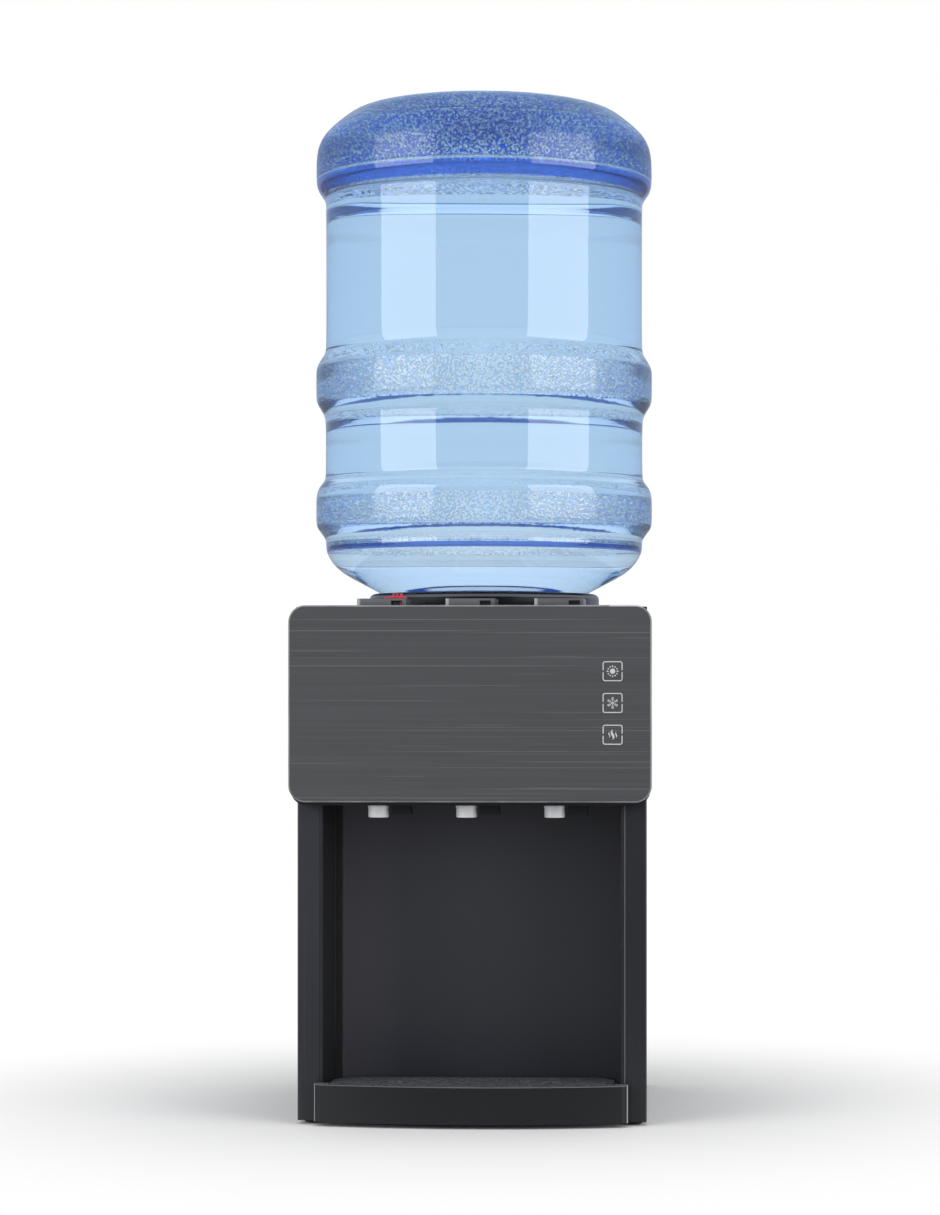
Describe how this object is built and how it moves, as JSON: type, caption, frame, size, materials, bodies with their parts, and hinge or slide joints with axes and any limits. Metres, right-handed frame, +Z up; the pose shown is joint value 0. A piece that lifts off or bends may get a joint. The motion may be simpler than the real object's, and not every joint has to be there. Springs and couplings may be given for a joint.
{
  "type": "countertop water dispenser",
  "caption": "Countertop water dispenser: upturned bottle on a cabinet with push-key taps over a niche and a pull-out drip tray.",
  "frame": {"origin": "middle of the footprint on the counter, on the bottle's axis", "axes": "+Z up, the front with the taps faces -Y, +X to the right seen from the front"},
  "size_m": [0.282, 0.306, 0.812],
  "materials": {
    "black_abs": "satin moulded ABS",
    "black_gloss": "gloss",
    "grille_plastic": "fine grained",
    "painted_steel": "satin powder coat",
    "zinc_steel": "zinc plated",
    "brushed_panel": "dark grey, horizontal brushed streaks, satin",
    "light_guide": "milky",
    "circuit_board": "solder mask",
    "white_plastic": "moulded",
    "nozzle_white": "gloss white",
    "key_grey": "satin",
    "red_plastic": "gloss",
    "green_plastic": "gloss",
    "rubber_black": "matt",
    "silicone": "translucent",
    "bottle_blue": "clear tinted, smooth barrel with crackled bands",
    "cap_blue": "moulded",
    "stainless": "drawn",
    "aluminium": "extruded",
    "ceramic_white": "bare",
    "heater_mica": "mica with steel band",
    "foam_white": "expanded foam",
    "foam_grey": "expanded foam"
  },
  "bodies": {
    "housing": {"base_pan": "black_abs", "rubber_feet": "rubber_black", "left_side_panel": "painted_steel", "right_side_panel": "painted_steel", "rear_panel": "painted_steel", "rear_screws": "zinc_steel", "niche_liner": "black_abs", "head_shell": "black_abs", "front_fascia": "brushed_panel", "light_guides": "light_guide", "indicator_board": "circuit_board", "top_cover": "black_abs", "bottle_collar": "black_gloss", "bottle_probe": "white_plastic", "probe_seal": "silicone", "key_hinge_rod": "zinc_steel", "return_springs": "stainless", "hot_tap_body": "white_plastic", "ambient_tap_body": "white_plastic", "cold_tap_body": "white_plastic", "hot_nozzle": "nozzle_white", "ambient_nozzle": "nozzle_white", "cold_nozzle": "nozzle_white", "cold_tank": "stainless", "cold_tank_lid": "white_plastic", "cold_tank_foam": "foam_white", "cold_block": "aluminium", "peltier_module": "ceramic_white", "heat_sink": "aluminium", "fan_frame": "black_abs", "hot_tank": "stainless", "band_heater": "heater_mica", "hot_tank_foam": "foam_grey", "hot_hose": "silicone", "cold_tank_hoses": "silicone", "feed_hose": "silicone", "drain_hose": "silicone", "power_board": "circuit_board", "switch_housings": "black_abs", "drain_fitting": "black_abs", "mains_gland": "black_abs"},
    "bottle": {"bottle": "bottle_blue", "bottle_neck": "bottle_blue", "bottle_cap": "cap_blue"},
    "drip_tray": {"drip_tray": "black_abs"},
    "drip_grille": {"drip_grille": "grille_plastic"},
    "hot_key": {"hot_key": "key_grey"},
    "child_lock": {"child_lock": "red_plastic"},
    "ambient_key": {"ambient_key": "key_grey"},
    "cold_key": {"cold_key": "key_grey"},
    "hot_valve": {"hot_push_rod": "white_plastic", "hot_valve_seal": "silicone"},
    "ambient_valve": {"ambient_push_rod": "white_plastic", "ambient_valve_seal": "silicone"},
    "cold_valve": {"cold_push_rod": "white_plastic", "cold_valve_seal": "silicone"},
    "heating_rocker": {"heating_rocker": "red_plastic"},
    "cooling_rocker": {"cooling_rocker": "green_plastic"},
    "fan": {"fan_rotor": "black_abs"},
    "drain_plug": {"drain_plug": "black_abs"}
  },
  "joints": [
    {"name": "bottle_lift", "type": "slide", "parent": "housing", "child": "bottle", "axis": [0, 0, 1], "range_m": [0, 0.15]},
    {"name": "drip_tray_pull", "type": "slide", "parent": "housing", "child": "drip_tray", "axis": [0, -1, 0], "range_m": [0, 0.085]},
    {"name": "drip_grille_lift", "type": "slide", "parent": "drip_tray", "child": "drip_grille", "axis": [0, 0, 1], "range_m": [0, 0.05]},
    {"name": "hot_key_press", "type": "hinge", "parent": "housing", "child": "hot_key", "pos_m": [-0.069, -0.1015, 0.4005], "axis": [1, 0, 0], "range_deg": [0, 8], "stiffness_Nm_per_rad": 1, "springref_deg": -5.73},
    {"name": "child_lock_slide", "type": "slide", "parent": "hot_key", "child": "child_lock", "axis": [0, 1, 0], "range_m": [0, 0.004]},
    {"name": "ambient_key_press", "type": "hinge", "parent": "housing", "child": "ambient_key", "pos_m": [0, -0.1015, 0.4005], "axis": [1, 0, 0], "range_deg": [0, 8], "stiffness_Nm_per_rad": 1, "springref_deg": -5.73},
    {"name": "cold_key_press", "type": "hinge", "parent": "housing", "child": "cold_key", "pos_m": [0.069, -0.1015, 0.4005], "axis": [1, 0, 0], "range_deg": [0, 8], "stiffness_Nm_per_rad": 1, "springref_deg": -5.73},
    {"name": "hot_valve_stroke", "type": "slide", "parent": "housing", "child": "hot_valve", "axis": [0, 0, -1], "range_m": [0, 0.0025], "deforming": ["return_springs"]},
    {"name": "ambient_valve_stroke", "type": "slide", "parent": "housing", "child": "ambient_valve", "axis": [0, 0, -1], "range_m": [0, 0.0025], "deforming": ["return_springs"]},
    {"name": "cold_valve_stroke", "type": "slide", "parent": "housing", "child": "cold_valve", "axis": [0, 0, -1], "range_m": [0, 0.0025], "deforming": ["return_springs"]},
    {"name": "heating_switch_tilt", "type": "hinge", "parent": "housing", "child": "heating_rocker", "pos_m": [-0.102, 0.1405, 0.15], "axis": [1, 0, 0], "range_deg": [-16, 0]},
    {"name": "cooling_switch_tilt", "type": "hinge", "parent": "housing", "child": "cooling_rocker", "pos_m": [-0.074, 0.1405, 0.15], "axis": [1, 0, 0], "range_deg": [-16, 0]},
    {"name": "fan_spin", "type": "hinge", "parent": "housing", "child": "fan", "pos_m": [0, 0.1346, 0.29], "axis": [0, 1, 0], "continuous": true},
    {"name": "drain_plug_pull", "type": "slide", "parent": "housing", "child": "drain_plug", "axis": [0, 1, 0], "range_m": [0, 0.02]}
  ],
  "couplings": [
    {"joint": "hot_valve_stroke", "follows": "hot_key_press", "m_per_rad": 0.0175},
    {"joint": "ambient_valve_stroke", "follows": "ambient_key_press", "m_per_rad": 0.0175},
    {"joint": "cold_valve_stroke", "follows": "cold_key_press", "m_per_rad": 0.0175}
  ]
}
